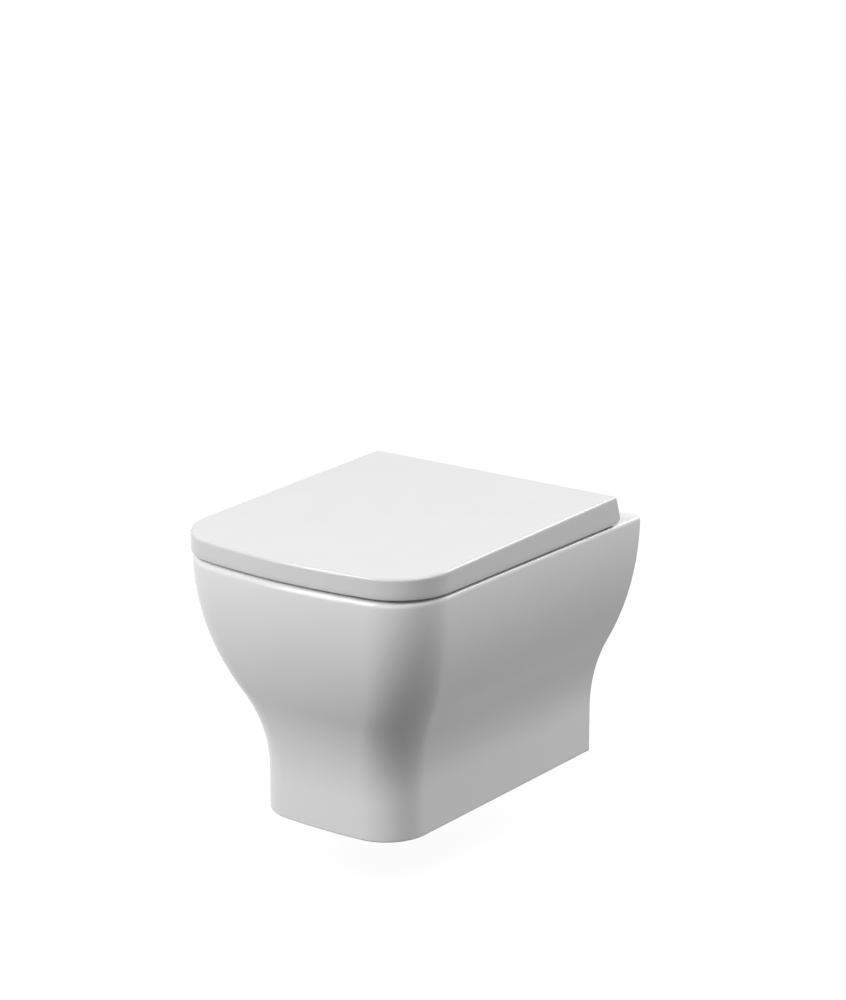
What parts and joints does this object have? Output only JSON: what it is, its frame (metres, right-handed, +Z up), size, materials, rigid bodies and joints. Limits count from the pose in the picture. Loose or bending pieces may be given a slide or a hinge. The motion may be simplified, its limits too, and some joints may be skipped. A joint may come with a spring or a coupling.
{
  "type": "wall hung toilet",
  "caption": "Wall hung toilet with a fully shrouded, flared ceramic pan, a soft-close seat and a wrap-over lid on quick-release hinges",
  "frame": {"origin": "on the wall plane, midway between the two wall fixing holes", "axes": "+X to the right seen from the front, +Y out of the back of the pan into the wall, +Z up"},
  "size_m": [0.363, 0.477, 0.3603],
  "materials": {
    "glaze": "white gloss glaze on vitreous china",
    "seat_plastic": "white gloss thermoset",
    "chrome": "bright chrome plate",
    "steel": "zinc plated or stainless, satin",
    "brass": "plain turned brass",
    "rubber": "black rubber",
    "pads": "pale translucent elastomer",
    "nylon": "natural nylon",
    "cartridge": "dark acetal"
  },
  "bodies": {
    "pan": {"pan": "glaze", "pan_bowl": "glaze", "pan_trap": "glaze", "pan_web": "glaze", "stud_sleeves": "nylon", "stud_washers": "steel", "stud_nuts": "steel", "hinge_gaskets": "rubber", "anchor_bushes": "rubber", "anchor_cones": "brass", "hinge_posts": "chrome", "hinge_bolts": "steel", "hinge_blocks": "chrome", "pivot_shafts": "steel", "shaft_screws": "steel", "left_release_spring": "steel", "right_release_spring": "steel"},
    "seat": {"seat_ring": "seat_plastic", "seat_buffers": "pads", "seat_damper": "cartridge", "seat_bush": "cartridge"},
    "lid": {"lid": "seat_plastic", "lid_buffers": "pads", "lid_damper": "cartridge", "lid_bush": "cartridge"},
    "left_button": {"left_release_button": "chrome"},
    "right_button": {"right_release_button": "chrome"}
  },
  "joints": [
    {"name": "seat_hinge", "type": "hinge", "parent": "pan", "child": "seat", "pos_m": [0, -0.062, 0.1125], "axis": [-1, 0, 0], "range_deg": [0, 95]},
    {"name": "lid_hinge", "type": "hinge", "parent": "seat", "child": "lid", "pos_m": [0, -0.062, 0.1125], "axis": [-1, 0, 0], "range_deg": [0, 95]},
    {"name": "left_release", "type": "slide", "parent": "pan", "child": "left_button", "axis": [0, 1, 0], "range_m": [0, 0.002], "stiffness_N_per_m": 400, "springref_m": -0.005, "deforming": ["left_release_spring"]},
    {"name": "right_release", "type": "slide", "parent": "pan", "child": "right_button", "axis": [0, 1, 0], "range_m": [0, 0.002], "stiffness_N_per_m": 400, "springref_m": -0.005, "deforming": ["right_release_spring"]}
  ]
}
